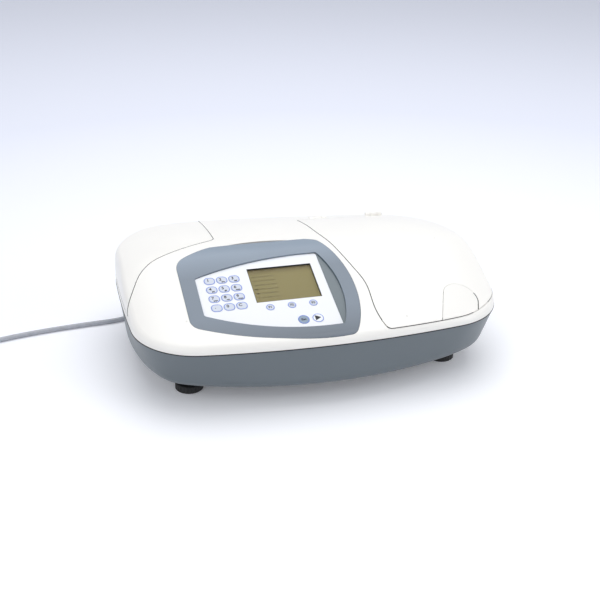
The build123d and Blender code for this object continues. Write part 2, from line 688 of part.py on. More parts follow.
save("deuterium_lamp", fillet(deuterium.edges().filter_by(GeomType.CIRCLE).sort_by(Axis.Z)[-1], 6))
tungsten = rod_z(9, lamp_floor, lamp_floor + 22, LAMP_X[0] + 34, LAMP_BEAM_Y - 20)
tungsten += rod_z(6, lamp_floor + 22, lamp_floor + 46, LAMP_X[0] + 34, LAMP_BEAM_Y - 20)
save("tungsten_lamp", fillet(tungsten.edges().filter_by(GeomType.CIRCLE).sort_by(Axis.Z)[-1], 4))
wheel = rod_x(WHEEL_RADIUS, WHEEL_X - WHEEL_THICKNESS / 2, WHEEL_X + WHEEL_THICKNESS / 2, wheel_y, BEAM_Z - 10)
for index in range(6):
    angle = math.radians(60 * index + 40)
    wheel -= rod_x(5, WHEEL_X - 9, WHEEL_X + 9, wheel_y + 14 * math.cos(angle), BEAM_Z - 10 + 14 * math.sin(angle))
wheel -= rod_x(WHEEL_SHAFT_RADIUS + 0.05, WHEEL_X - 9, WHEEL_X + 9, wheel_y, BEAM_Z - 10)
save("filter_wheel", wheel)

# Power supply and main board on the tray floor
supply = span((-166, -76), (-128, -34), (FLOOR_TOP, 70))
supply -= span((-164, -78), (-126, -36), (FLOOR_TOP + 2, 80))
supply += span((-156, -126), (-116, -60), (FLOOR_TOP + 2, 58))
supply += span((-114, -88), (-100, -50), (FLOOR_TOP + 2, 52))
save("power_supply", supply)
board = span((-66, 72), (-146, -46), (37, 38.6))
for x in (-60, 66):
    for y in (-140, -52):
        board += rod_z(4, FLOOR_TOP, 37, x, y)
for x, y, w, d, h in ((-40, -100, 28, 28, 4), (10, -80, 20, 14, 4), (40, -120, 16, 30, 9), (-45, -62, 30, 8, 12)):
    board += span((x - w / 2, x + w / 2), (y - d / 2, y + d / 2), (38.6, 38.6 + h))
save("main_board", board)

# Rear panel with inlet, fuse drawer, rocker switch, data socket and fan
panel_x = (RECESS_X[0] + PANEL_GAP, RECESS_X[1] - PANEL_GAP)
panel_z = (RECESS_Z[0] + PANEL_GAP, RECESS_Z[1] - PANEL_GAP)
panel_y = (PANEL_Y, PANEL_Y + PANEL_THICKNESS)
panel = span(panel_x, panel_y, panel_z)


def through(x, width, height, gap=0.2):
    return span((x - width / 2 - gap, x + width / 2 + gap), (100, FAR),
                (PANEL_MID_Z - height / 2 - gap, PANEL_MID_Z + height / 2 + gap))


panel -= through(INLET_X, *INLET_SIZE)
panel -= through(FUSE_X, FUSE_SIZE[0], FUSE_SIZE[1])
panel -= through(SWITCH_X, *SWITCH_SIZE)
panel -= through(SOCKET_X, 18, 9)
for ring in (6, 11, 16):
    for index in range(8):
        angle = math.radians(45 * index + 3 * ring)
        x = FAN_X + ring * math.cos(angle)
        z = PANEL_MID_Z + ring * math.sin(angle)
        panel -= rod_y(1.6 if ring < 10 else 2.2, 150, 170, x, z)
save("rear_panel", panel)

panel_face = panel_y[1]
inlet = span((INLET_X - INLET_SIZE[0] / 2, INLET_X + INLET_SIZE[0] / 2), (PANEL_Y - INLET_DEPTH, panel_face),
             (PANEL_MID_Z - INLET_SIZE[1] / 2, PANEL_MID_Z + INLET_SIZE[1] / 2))
inlet += span((INLET_X - INLET_FLANGE[0] / 2, INLET_X + INLET_FLANGE[0] / 2), (panel_face, panel_face + INLET_FLANGE[2]),
              (PANEL_MID_Z - INLET_FLANGE[1] / 2, PANEL_MID_Z + INLET_FLANGE[1] / 2))
pocket_y = (PANEL_Y - INLET_DEPTH + 2, FAR)
inlet -= span((INLET_X - INLET_POCKET[0] / 2, INLET_X + INLET_POCKET[0] / 2), pocket_y,
              (PANEL_MID_Z - INLET_POCKET[1] / 2, PANEL_MID_Z + INLET_POCKET[1] / 2))
blade_places = ((-7.0, -2.0), (7.0, -2.0), (0.0, 2.5))
for dx, dz in blade_places:
    inlet += span((INLET_X + dx - BLADE[0] / 2, INLET_X + dx + BLADE[0] / 2),
                  (pocket_y[0] - 1, pocket_y[0] + BLADE[2]),
                  (PANEL_MID_Z + dz - BLADE[1] / 2, PANEL_MID_Z + dz + BLADE[1] / 2))
save("mains_inlet", inlet)

drawer = span((FUSE_X - FUSE_SIZE[0] / 2 + 0.3, FUSE_X + FUSE_SIZE[0] / 2 - 0.3), (PANEL_Y - FUSE_SIZE[2], panel_face),
              (PANEL_MID_Z - FUSE_SIZE[1] / 2 + 0.3, PANEL_MID_Z + FUSE_SIZE[1] / 2 - 0.3))
drawer += span((FUSE_X - FUSE_SIZE[0] / 2 - 1, FUSE_X + FUSE_SIZE[0] / 2 + 1), (panel_face, panel_face + 3),
               (PANEL_MID_Z - FUSE_SIZE[1] / 2 - 1, PANEL_MID_Z + FUSE_SIZE[1] / 2 + 1))
drawer -= rod_z(3.0, PANEL_MID_Z - 8, PANEL_MID_Z + 8, FUSE_X, PANEL_Y - FUSE_SIZE[2] + 2)
save("fuse_drawer", drawer)

rocker = rod_x(11, SWITCH_X - SWITCH_SIZE[0] / 2 + 0.5, SWITCH_X + SWITCH_SIZE[0] / 2 - 0.5, PANEL_Y - 6, PANEL_MID_Z)
rocker &= span((SWITCH_X - 20, SWITCH_X + 20), (PANEL_Y - 9, FAR), (PANEL_MID_Z - 8, PANEL_MID_Z + 8))
save("power_switch", rocker)

socket = span((SOCKET_X - 8.8, SOCKET_X + 8.8), (PANEL_Y - 8, panel_face + 1.0), (PANEL_MID_Z - 4.3, PANEL_MID_Z + 4.3))
socket = chamfer(socket.edges().filter_by(Axis.Y), 1.5)
socket += span((SOCKET_X - 15, SOCKET_X + 15), (PANEL_Y - 2, PANEL_Y), (PANEL_MID_Z - 6, PANEL_MID_Z + 6))
save("data_socket", socket)

fan_y = (PANEL_Y - FAN_DEPTH, PANEL_Y)
half_fan = FAN_SIZE / 2
fan = span((FAN_X - half_fan, FAN_X + half_fan), fan_y, (PANEL_MID_Z - half_fan, PANEL_MID_Z + half_fan))
fan = fillet(fan.edges().filter_by(Axis.Y), 3)
fan -= rod_y(half_fan - 2, fan_y[0] - 1, fan_y[1] + 1, FAN_X, PANEL_MID_Z)
fan += rod_y(7, fan_y[0], fan_y[0] + 1.5, FAN_X, PANEL_MID_Z)
fan += rod_y(1.5, fan_y[0], fan_y[1] - 3, FAN_X, PANEL_MID_Z)
for turn in (0, 90):
    bar = Pos(FAN_X, fan_y[0] + 0.75, PANEL_MID_Z) * Rot(0, turn + 45, 0) * Box(2 * half_fan - 2, 1.5, 2.5)
    fan += bar & rod_y(half_fan - 1, fan_y[0], fan_y[1], FAN_X, PANEL_MID_Z)
save("fan_frame", fan)
rotor_y = (fan_y[0] + 1.8, fan_y[1] - 2.5)
rotor = rod_y(7, *rotor_y, FAN_X, PANEL_MID_Z)
for index in range(FAN_BLADES):
    blade = Pos(10.5, (rotor_y[0] + rotor_y[1]) / 2, 0) * Rot(35, 0, 0) * Box(10, 1.2, 9)
    rotor += Pos(FAN_X, 0, PANEL_MID_Z) * Rot(0, 360 * index / FAN_BLADES, 0) * blade
rotor &= rod_y(half_fan - 3, *rotor_y, FAN_X, PANEL_MID_Z)
rotor -= rod_y(1.55, fan_y[0], fan_y[1] - 2.9, FAN_X, PANEL_MID_Z)
save("fan_rotor", rotor)

# Screws that hold the tray to the casing, seen from below
screws = []
for x in (-120.0, 0.0, 120.0):
    for y in (-120.0, 120.0):
        screws.append(rod_z(4, FLOOR_Z - 2.4, FLOOR_Z, x, y))
save("casing_screws", Compound(children=screws))

# Mains lead: connector in the inlet, run over the bench, put-away coil and plug
nose_y = (pocket_y[0] + 1.0, panel_face + INLET_FLANGE[2] + 1)
nose = span((INLET_X - INLET_POCKET[0] / 2 + 0.3, INLET_X + INLET_POCKET[0] / 2 - 0.3), nose_y,
            (PANEL_MID_Z - INLET_POCKET[1] / 2 + 0.3, PANEL_MID_Z + INLET_POCKET[1] / 2 - 0.3))
for dx, dz in blade_places:
    nose -= span((INLET_X + dx - BLADE[0] / 2 - 0.3, INLET_X + dx + BLADE[0] / 2 + 0.3),
                 (0, pocket_y[0] + BLADE[2] + 1),
                 (PANEL_MID_Z + dz - BLADE[1] / 2 - 0.3, PANEL_MID_Z + dz + BLADE[1] / 2 + 0.3))
grip = span((INLET_X - 14, INLET_X + 14), (nose_y[1], nose_y[1] + 22), (PANEL_MID_Z - 10, PANEL_MID_Z + 10))
grip = fillet(grip.edges().filter_by(Axis.Y), 4)
relief_start = nose_y[1] + 22
relief = Pos(INLET_X, relief_start, PANEL_MID_Z) * Rot(-90, 0, 0) * Cone(
    7.5, CORD_RADIUS + 1, CORD_ROUTE[0][1] - relief_start, align=(Align.CENTER, Align.CENTER, Align.MIN))
save("cord_connector", nose + grip + relief)

points = [Vector(*p) for p in CORD_ROUTE]
radii = []
for a, b, c in zip(points, points[1:], points[2:]):
    turn = math.radians((b - a).get_angle(c - b))
    radii.append(0.45 * min((b - a).length, (c - b).length) / math.tan(turn / 2))
print("cord radii", [round(r) for r in radii])
path = FilletPolyline(*points, radius=radii)
start = Plane(origin=points[0], z_dir=points[1] - points[0])
run = sweep(start * Circle(CORD_RADIUS), path=path)
print("cord length", round(path.length), "volume", round(run.volume), "against",
      round(math.pi * CORD_RADIUS**2 * path.length))
save("cord_run", run)

coil_height = 2 * CORD_RADIUS * COIL_LAYERS
coil_half = CORD_RADIUS * COIL_COLUMNS
coil = Cylinder(COIL_RADIUS + coil_half, coil_height, align=(Align.CENTER, Align.CENTER, Align.MIN))
coil -= Cylinder(COIL_RADIUS - coil_half, 3 * coil_height)
save("cord_coil", Pos(*COIL_CENTRE, 0) * fillet(coil.edges(), CORD_RADIUS * 0.8))

plug = rod_y(PLUG_RADIUS, -PLUG_RELIEF - PLUG_LENGTH, -PLUG_RELIEF, 0, PLUG_RADIUS)
plug = fillet(plug.edges(), 4)
plug += Pos(0, 0, PLUG_RADIUS) * Rot(90, 0, 0) * Cone(
    CORD_RADIUS + 1, PLUG_RADIUS / 2, PLUG_RELIEF, align=(Align.CENTER, Align.CENTER, Align.MIN))
for side in (-1, 1):
    pin_end = -PLUG_RELIEF - PLUG_LENGTH - PLUG_PIN[1]
    plug += rod_y(PLUG_PIN[0], pin_end, -PLUG_RELIEF - PLUG_LENGTH + 1, side * PLUG_PIN_SPREAD, PLUG_RADIUS)
turn_middle = COIL_RADIUS + CORD_RADIUS
save("mains_plug", Pos(COIL_CENTRE[0] - turn_middle, COIL_CENTRE[1] - PLUG_TUCK, 0) * plug)
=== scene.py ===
import math

import bmesh
import bpy
import numpy as np
from mathutils import Matrix, Vector
from mathutils.geometry import convex_hull_2d


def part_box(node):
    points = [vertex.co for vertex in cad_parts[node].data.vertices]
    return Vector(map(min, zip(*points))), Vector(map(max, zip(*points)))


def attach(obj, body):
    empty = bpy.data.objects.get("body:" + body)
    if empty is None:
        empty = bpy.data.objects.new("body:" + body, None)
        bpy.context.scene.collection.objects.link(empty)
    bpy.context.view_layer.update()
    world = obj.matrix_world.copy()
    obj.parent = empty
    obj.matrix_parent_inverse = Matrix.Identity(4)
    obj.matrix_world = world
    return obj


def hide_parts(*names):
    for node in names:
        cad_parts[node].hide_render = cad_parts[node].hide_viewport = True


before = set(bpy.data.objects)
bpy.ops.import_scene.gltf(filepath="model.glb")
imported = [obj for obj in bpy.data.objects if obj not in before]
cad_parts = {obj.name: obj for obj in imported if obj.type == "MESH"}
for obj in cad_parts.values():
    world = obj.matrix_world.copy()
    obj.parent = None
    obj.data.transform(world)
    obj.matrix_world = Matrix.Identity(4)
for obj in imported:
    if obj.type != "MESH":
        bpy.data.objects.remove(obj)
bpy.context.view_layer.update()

# Keypad plane of the casing, in metres and radians
KEYPAD_TILT = math.radians(19.74)
KEYPAD_ORIGIN = (0.0, -0.078, 0.1225)
KEY_TOP = 0.00035

# Keys: half width, half height, corner radius and outline, in metres
KEY_HALF = (0.00735, 0.0065, 0.0056)
KEY_FIRST = (-0.1432, 0.0328)
KEY_PITCH = 0.0167
SOFT_HALF = 0.0055
SOFT_FIRST = (-0.0735, -0.0256)
SOFT_PITCH = 0.0293
ROUND_HALF = 0.0075
ROUND_FIRST = (-0.0353, -0.0535)
ROUND_PITCH = 0.0194
SCREEN_CENTRE = (-0.0445, 0.0168)
SCREEN_HALF = (0.04485, 0.03195)
SCREEN_DEPTH = 0.0028
CRESCENT_LEVEL = 0.0006

# Camera that saw the photograph: place, and the axes right, up and back
CAMERA_AT = (-0.3852, -1.2831, 0.7233)
CAMERA_TURN = (-16.587, 26.09, 1.364)
CAMERA_LENS = 62.61


def linear(red, green, blue):
    """Colour for a socket from its 8-bit sRGB values: the usual power curve."""
    values = np.array([red, green, blue]) / 255
    curve = np.where(values <= 0.04045, values / 12.92, ((values + 0.055) / 1.055) ** 2.4)
    return (*curve.tolist(), 1.0)


class Reading:
    """A number that varies over a surface. Arithmetic on it adds Math nodes."""

    def __init__(self, finish, socket):
        self.finish = finish
        self.socket = socket

    def _with(self, operation, *values):
        return self.finish.node("ShaderNodeMath", {"operation": operation}, dict(enumerate(values)))

    def __add__(self, other):
        return self._with("ADD", self, other)

    __radd__ = __add__

    def __sub__(self, other):
        return self._with("SUBTRACT", self, other)

    def __rsub__(self, other):
        return self._with("SUBTRACT", other, self)

    def __mul__(self, other):
        return self._with("MULTIPLY", self, other)

    __rmul__ = __mul__

    def __truediv__(self, other):
        return self._with("DIVIDE", self, other)

    def __gt__(self, other):
        return self._with("GREATER_THAN", self, other)

    def __lt__(self, other):
        return self._with("LESS_THAN", self, other)

    def __mod__(self, other):
        return self._with("FLOORED_MODULO", self, other)

    def __abs__(self):
        return self._with("ABSOLUTE", self)

    def floor(self):
        return self._with("FLOOR", self)

    def below(self, edge, softness):
        """1 under the edge, 0 above it, with a straight ramp as wide as softness."""
        scaled = (edge + softness / 2 - self) / softness
        return self.finish.node(
            "ShaderNodeMath", {"operation": "ADD", "use_clamp": True}, {0: scaled, 1: 0.0})


class Finish:
    """A material: one Principled shader, and nodes that vary it over the surface."""

    def __init__(self, name, colour, roughness, **constants):
        self.material = bpy.data.materials.new(name)
        self.material.use_nodes = True
        self.tree = self.material.node_tree
        self.shader = self.tree.nodes["Principled BSDF"]
        self.shader.inputs["Base Color"].default_value = colour
        self.shader.inputs["Roughness"].default_value = roughness
        self.colour = colour
        self.material.diffuse_color = colour
        for words, value in constants.items():
            self.shader.inputs[words.replace("_", " ").title()].default_value = value
        self.place = self.node("ShaderNodeTexCoord", {}, {}, "Object")

    def feed(self, socket, value):
        if isinstance(value, Reading):
            self.tree.links.new(value.socket, socket)
        else:
            socket.default_value = value

    def node(self, kind, settings, inputs, output=0):
        """Any node: its settings are set first, then its inputs get values or links."""
        made = self.tree.nodes.new(kind)
        for key, value in settings.items():
            if key == "stops":
                for stop, (position, colour) in zip(made.color_ramp.elements, value):
                    stop.position = position
                    stop.color = colour
            else:
                setattr(made, key, value)
        for key, value in inputs.items():
            self.feed(made.inputs[key], value)
        return Reading(self, made.outputs[output])

    def set(self, name, value):
        self.feed(self.shader.inputs[name], value)
        return self

    def noise(self, scale, detail=2.0, roughness=0.5):
        return self.node("ShaderNodeTexNoise", {}, {
            "Vector": self.place, "Scale": scale, "Detail": detail, "Roughness": roughness}, "Fac")

    def axes(self):
        """The point's x, y and z in metres."""
        split = self.tree.nodes.new("ShaderNodeSeparateXYZ")
        self.feed(split.inputs[0], self.place)
        return [Reading(self, socket) for socket in split.outputs]

    def mix(self, share, first, second):
        """Colour that goes from first to second as share goes from 0 to 1."""
        made = self.tree.nodes.new("ShaderNodeMix")
        made.data_type = "RGBA"
        self.feed(made.inputs[0], share)
        self.feed(made.inputs[6], first)
        self.feed(made.inputs[7], second)
        return Reading(self, made.outputs[2])

    def bump(self, height, strength, distance):
        return self.set("Normal", self.node("ShaderNodeBump", {}, {
            "Height": height, "Strength": strength, "Distance": distance}))

    def spot(self, centre, radius, softness):
        """1 within radius of a point on the surface, fading to 0 over softness."""
        away = self.node("ShaderNodeVectorMath", {"operation": "DISTANCE"}, {
            0: self.place, 1: centre}, "Value")
        return away.below(radius, softness)


def shade(colour, factor):
    return tuple(min(1.0, part * factor) for part in colour[:3]) + (1.0,)


def moulded(name, colour, roughness, grain=0.04, mottle=0.03):
    """Moulded plastic: even colour with a faint mottle and a fine bead-blasted grain."""
    made = Finish(name, colour, roughness)
    cloud = made.noise(14.0, 3.0)
    made.set("Base Color", made.mix(cloud, shade(colour, 1 - mottle), shade(colour, 1 + mottle)))
    made.set("Roughness", cloud * 0.12 + (roughness - 0.06))
    made.bump(made.noise(2600.0, 1.0), grain, 0.00012)
    return made


def scuffed(made, colour, marks, dark):
    """Adds faint marks on a moulded finish: each is a soft spot broken up by noise."""
    cloud = made.noise(14.0, 3.0)
    base = made.mix(cloud, shade(colour, 0.985), shade(colour, 1.015))
    streaks = made.noise(900.0, 4.0) > 0.5
    for centre, radius in marks:
        base = made.mix(made.spot(centre, radius, radius) * streaks * 0.6, base, dark)
    made.set("Base Color", base)
    return made


def painted(name, colour, roughness):
    """Painted sheet: orange-peel bump and slightly uneven gloss."""
    made = Finish(name, colour, roughness)
    peel = made.noise(700.0, 2.0)
    made.set("Roughness", peel * 0.15 + (roughness - 0.07))
    made.bump(peel, 0.08, 0.0002)
    return made


def metal(name, colour, roughness, stretch=(1.0, 1.0, 1.0), grain=420.0):
    """Worked metal: fine lines from a noise that is stretched along the tool's path."""
    made = Finish(name, colour, roughness, metallic=1.0)
    lined = made.node("ShaderNodeMapping", {}, {"Vector": made.place, "Scale": stretch})
    lines = made.node("ShaderNodeTexNoise", {}, {
        "Vector": lined, "Scale": grain, "Detail": 3.0}, "Fac")
    made.set("Base Color", made.mix(lines, shade(colour, 0.88), shade(colour, 1.08)))
    made.set("Roughness", lines * 0.2 + (roughness - 0.1))
    made.bump(lines, 0.06, 0.0001)
    return made


def rubber(name, colour, roughness):
    """Dull rubber with a powdery bloom."""
    made = Finish(name, colour, roughness)
    bloom = made.noise(160.0, 5.0, 0.6)
    made.set("Base Color", made.mix(bloom, shade(colour, 0.8), shade(colour, 1.4)))
    made.bump(made.noise(1800.0, 2.0), 0.1, 0.0001)
    return made


def clear(name, colour, roughness, alpha):
    """Clear pane: mostly see-through, with a gloss and faint dust."""
    made = Finish(name, colour, roughness, alpha=alpha)
    dust = made.noise(350.0, 5.0, 0.7)
    made.set("Roughness", dust * 0.2 + roughness)
    return made


def keypad_axes(made):
    """Distances across, up and out of the keypad face, from the face's own origin."""
    x, y, z = made.axes()
    back = y - KEYPAD_ORIGIN[1]
    rise = z - KEYPAD_ORIGIN[2]
    up = back * math.cos(KEYPAD_TILT) + rise * math.sin(KEYPAD_TILT)
    out = rise * math.cos(KEYPAD_TILT) - back * math.sin(KEYPAD_TILT)
    return x, up, out


def olive_screen():
    """Switched-off liquid crystal: olive, darker at the top, with faint rows of worn marks."""
    colour = linear(146, 136, 92)
    made = Finish("screen_olive", colour, 0.5)
    made.shader.inputs["Specular IOR Level"].default_value = 0.15
    across, up, out = keypad_axes(made)
    top = SCREEN_CENTRE[1] + SCREEN_HALF[1]
    left = SCREEN_CENTRE[0] - SCREEN_HALF[0]
    depth = top - up
    shadow = depth.below(0.007, 0.008)
    base = made.mix(shadow * 0.45, colour, linear(92, 76, 60))
    row = ((depth - 0.0125) % 0.0078).below(0.0026, 0.0006)
    rows = row * (depth > 0.0125) * (depth < 0.0590)
    cells = made.node("ShaderNodeTexWhiteNoise", {"noise_dimensions": "2D"}, {
        "Vector": made.node("ShaderNodeCombineXYZ", {}, {
            "X": (across / 0.0011).floor(), "Y": (depth / 0.00085).floor()})}, "Value")
    marks = rows * (cells > 0.4) * (across < left + 0.036) * (across > left + 0.004)
    icons = (across < left + 0.008) * (depth > 0.027) * (depth < 0.046)
    base = made.mix(marks * (icons * 0.45 + 0.4), base, linear(62, 54, 38))
    # Partly painted shade: the module's walls off the screen's level are black, a dark frame that also stands in
    # for the shadow inside the recess.
    frame_and_wall_shade = abs(out + SCREEN_DEPTH) > 0.0003
    base = made.mix(frame_and_wall_shade, base, linear(24, 24, 26))
    made.set("Base Color", base)
    made.set("Roughness", made.noise(120.0, 3.0) * 0.15 + 0.45)
    return made


def recessed_bezel():
    """Blue-grey moulding with painted light: the crescent recess, told by its level, is painted a darker green-grey
    as painted shade; the front band is painted darker as shade, and the top band lighter as a painted highlight.
    """
    colour = linear(112, 124, 137)
    made = moulded("bezel_blue", colour, 0.30, 0.05, 0.02)
    across, up, out = keypad_axes(made)
    # Painted shade: the crescent recess floor is painted darker, standing in for the shade its walls cast.
    level = abs(out - CRESCENT_LEVEL).below(0.0006, 0.0002) * (across > 0.002) * (up < 0.068)
    cloud = made.noise(14.0, 3.0)
    # Painted shade: the front band is painted darker, for the top light that falls less on it.
    front = up.below(-0.062, 0.05)
    base = made.mix(front, colour, shade(colour, 0.62))
    # Painted highlight: the top band is painted lighter, standing in for the reflection of the bright surround it
    # catches.
    base = made.mix(up.below(0.060, 0.04), shade(colour, 1.50), base)
    base = made.mix(cloud * 0.3, base, shade(colour, 1.06))
    made.set("Base Color", made.mix(level, base, linear(98, 110, 116)))
    return made


def circuit_board(name):
    """Green solder resist over copper tracks: straight bands from a stepped pattern."""
    colour = linear(28, 92, 58)
    made = Finish(name, colour, 0.35)
    x, y, _ = made.axes()
    tracks = ((x % 0.0060) < 0.0008) + ((y % 0.0075) < 0.0008)
    cells = made.noise(90.0, 0.0) > 0.5
    made.set("Base Color", made.mix(tracks * cells * 0.6, colour, linear(70, 140, 80)))
    made.bump(tracks * cells, 0.2, 0.00005)
    return made


WHITE = linear(245, 243, 238)
casing_white = moulded("casing_white", WHITE, 0.34)
lid_white = moulded("lid_white", WHITE, 0.32)
cover_white = moulded("cover_white", WHITE, 0.33)
SPECK = linear(96, 92, 84)
scuffed(casing_white, WHITE, [((-0.1861, -0.1104, 0.1108), 0.0011), ((-0.118, 0.046, 0.1535), 0.0014)], SPECK)
scuffed(lid_white, WHITE, [((0.1002, -0.1485, 0.1032), 0.0012), ((0.1953, -0.0033, 0.1461), 0.0010)], SPECK)
port_white = moulded("port_white", linear(241, 239, 234), 0.36)
hull_grey = moulded("hull_grey", linear(101, 110, 116), 0.36, 0.06, 0.02)
bezel_blue = recessed_bezel()
panel_white = moulded("panel_white", linear(236, 238, 242), 0.36, 0.02, 0.01)
key_pale = moulded("key_pale", linear(204, 210, 222), 0.40, 0.02, 0.01)
key_grey = moulded("key_grey", linear(132, 150, 170), 0.40, 0.02, 0.01)
key_white = moulded("key_white", linear(232, 235, 240), 0.40, 0.02, 0.01)
ring_blue = moulded("ring_blue", linear(96, 128, 214), 0.45, 0.02, 0.01)
ink_black = moulded("ink_black", linear(16, 16, 22), 0.6, 0.02, 0.02)
# Black rubber of the seal; it also colours the bars in the cover gaps, which are painted shadow.
seal_and_gap_shade_black = rubber("seal_and_gap_shade_black", linear(26, 27, 29), 0.75)
foot_black = moulded("foot_black", linear(36, 36, 37), 0.55, 0.15, 0.1)
# Black of the display lining, partly painted shade for the display recess.
lining_shade_black = moulded("lining_shade_black", linear(30, 30, 34), 0.5)
pane_clear = clear("pane_clear", linear(120, 120, 110), 0.05, 0.04)
screen = olive_screen()
board_green = circuit_board("board_green")
pin_steel = metal("pin_steel", linear(190, 190, 188), 0.3, (8.0, 1.0, 1.0))
tub_black = painted("tub_black", linear(38, 38, 40), 0.5)
quartz = clear("quartz", linear(228, 236, 245), 0.04, 0.3)
alloy_black = metal("alloy_black", linear(62, 62, 66), 0.45, (1.0, 6.0, 1.0))
alloy_bare = metal("alloy_bare", linear(200, 200, 204), 0.38, (1.0, 10.0, 1.0))
optic_mirror = metal("optic_mirror", linear(226, 228, 232), 0.1, (1.0, 1.0, 40.0), 60.0)
zinc = metal("zinc", linear(186, 188, 190), 0.42, (2.0, 2.0, 2.0), 60.0)
panel_grey = painted("panel_grey", linear(150, 155, 160), 0.45)
plastic_black = moulded("plastic_black", linear(40, 40, 42), 0.42, 0.1, 0.1)
socket_tin = metal("socket_tin", linear(196, 196, 194), 0.34)
cord_grey = rubber("cord_grey", linear(170, 173, 180), 0.55)

NUMBER_KEYS = ("1", "2", "3", "4", "5", "6", "7", "8", "9", "point", "0", "sign")
WEARS = {
    casing_white: ["top_casing"],
    lid_white: ["sample_lid"],
    cover_white: ["lamp_cover"],
    port_white: ["port_cover"],
    hull_grey: ["base_tray"],
    bezel_blue: ["bezel"],
    panel_white: ["keypad_overlay"],
    key_pale: [f"key_{name}" for name in (*NUMBER_KEYS, "soft_1", "soft_2", "soft_3")],
    key_white: ["key_start"],
    key_grey: ["key_stop"],
    seal_and_gap_shade_black: ["casing_gasket"],
    foot_black: ["foot_left_front", "foot_left_rear", "foot_right_front", "foot_right_rear"],
    pane_clear: ["display_window"],
    screen: ["display_module"],
    board_green: ["keypad_board", "main_board"],
    pin_steel: ["hinge_pins", "casing_screws"],
    tub_black: ["sample_tub"],
    quartz: ["beam_windows", "deuterium_lamp", "tungsten_lamp"],
    alloy_black: ["cell_holder"],
    alloy_bare: ["cell_carriage", "monochromator_case", "monochromator_cover", "detector", "filter_wheel"],
    optic_mirror: ["grating", "mirrors"],
    zinc: ["lamp_housing", "power_supply"],
    panel_grey: ["rear_panel"],
    plastic_black: ["mains_inlet", "fuse_drawer", "power_switch", "fan_frame", "fan_rotor"],
    socket_tin: ["data_socket"],
    cord_grey: ["cord_connector", "cord_run", "cord_coil", "mains_plug"],
}
for finish, nodes in WEARS.items():
    for node in nodes:
        shown = bpy.data.objects[node]
        for holder in shown.material_slots:
            holder.material = finish.material


def piece(name, points, faces, finish, body, smooth=True):
    """Object at the origin from an array of points and one of faces, riding on a body."""
    mesh = bpy.data.meshes.new(name)
    mesh.from_pydata(points.tolist(), [], faces.tolist())
    mesh.polygons.foreach_set("use_smooth", np.full(len(faces), smooth))
    mesh.update()
    made = bpy.data.objects.new(name, mesh)
    bpy.context.collection.objects.link(made)
    made.data.materials.append(finish.material)
    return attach(made, body)


def on_keypad(flat):
    """Points given as across, up and out of the keypad face, moved to the row's frame."""
    across, up, out = flat[:, 0], flat[:, 1], flat[:, 2]
    y = KEYPAD_ORIGIN[1] + up * math.cos(KEYPAD_TILT) - out * math.sin(KEYPAD_TILT)
    z = KEYPAD_ORIGIN[2] + up * math.sin(KEYPAD_TILT) + out * math.cos(KEYPAD_TILT)
    return np.column_stack([across, y, z])


def ring_faces(count, around):
    """Quads of a band of count stations whose profile has around points, closed both ways."""
    i = np.repeat(np.arange(count), around)
    j = np.tile(np.arange(around), count)
    after = (i + 1) % count
    beside = (j + 1) % around
    return np.column_stack([i * around + j, i * around + beside, after * around + beside, after * around + j])


def rounded(half_wide, half_high, radius, inset, count=48):
    """Outline of a rounded rectangle: corner centres plus radius times cosine and sine."""
    angle = (np.arange(count) + 0.5) * 2 * np.pi / count
    across = (half_wide - radius) * np.sign(np.cos(angle)) + (radius - inset) * np.cos(angle)
    up = (half_high - radius) * np.sign(np.sin(angle)) + (radius - inset) * np.sin(angle)
    return across, up


def printed_ring(name, centre, half, radius, body):
    """Band round a key's edge: the key's outline inset twice, with a thin raised profile."""
    outer = rounded(*half, radius, 0.00015)
    inner = rounded(*half, radius, 0.00105)
    low = KEY_TOP - 0.00002
    high = KEY_TOP + 0.00003
    corners = [(inner, low), (inner, high), (outer, high), (outer, low)]
    flat = np.stack([
        np.column_stack([line[0] + centre[0], line[1] + centre[1], np.full(48, height)])
        for line, height in corners
    ], axis=1).reshape(-1, 3)
    return piece(name, on_keypad(flat), ring_faces(48, 4), ring_blue, body, False)


def printed_text(name, words, size, centre, body):
    """Ink on a key: a flat text made a thin mesh, then carried to the keypad face."""
    curve = bpy.data.curves.new(name, "FONT")
    curve.body = words
    curve.size = size
    curve.align_x = "CENTER"
    curve.align_y = "CENTER"
    curve.extrude = 0.00002
    curve.offset = 0.00020
    curve.resolution_u = 3
    shape = bpy.data.objects.new(name + "_shape", curve)
    bpy.context.collection.objects.link(shape)
    mesh = bpy.data.meshes.new_from_object(shape)
    bpy.data.objects.remove(shape)
    flat = np.empty(len(mesh.vertices) * 3)
    mesh.vertices.foreach_get("co", flat)
    flat = flat.reshape(-1, 3) + (centre[0], centre[1], KEY_TOP + 0.00003)
    mesh.vertices.foreach_set("co", on_keypad(flat).ravel())
    mesh.update()
    mesh.name = name
    made = bpy.data.objects.new(name, mesh)
    bpy.context.collection.objects.link(made)
    made.data.materials.clear()
    made.data.materials.append(ink_black.material)
    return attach(made, body)


# Lower tray: the solids' rim, and the floor's outline that the photograph's taper calls for
CASE_MIDDLE = Vector((0.0, 0.0, 0.02))
# Black bar in the gaps round the covers, a painted shadow: how far it reaches back inside the cover's edge, how far
# it sits below the skin and how deep it is.
GAP_SHADE_ROOT = 0.0002
GAP_SHADE_SINK = -0.00006
GAP_SHADE_DEPTH = 0.0009
HULL_FLOOR_Z = 0.026
HULL_FLOOR_HALF = (0.2482, 0.176)
HULL_FLOOR_BOWS = (0.033, 0.050)
HULL_FLOOR_CORNER = 60.0
HULL_EDGE = 0.019
HULL_WALL = 0.003
HULL_STATIONS = 192
RECESS_LOW = (-0.165, 0.161, 0.035)
RECESS_HIGH = (0.045, 0.32, 0.081)
RECESS_WALL = 0.005
PANEL_LEDGE = 0.003
FOOT_AT = (0.181, 0.088)
FOOT_STUD = 0.0042


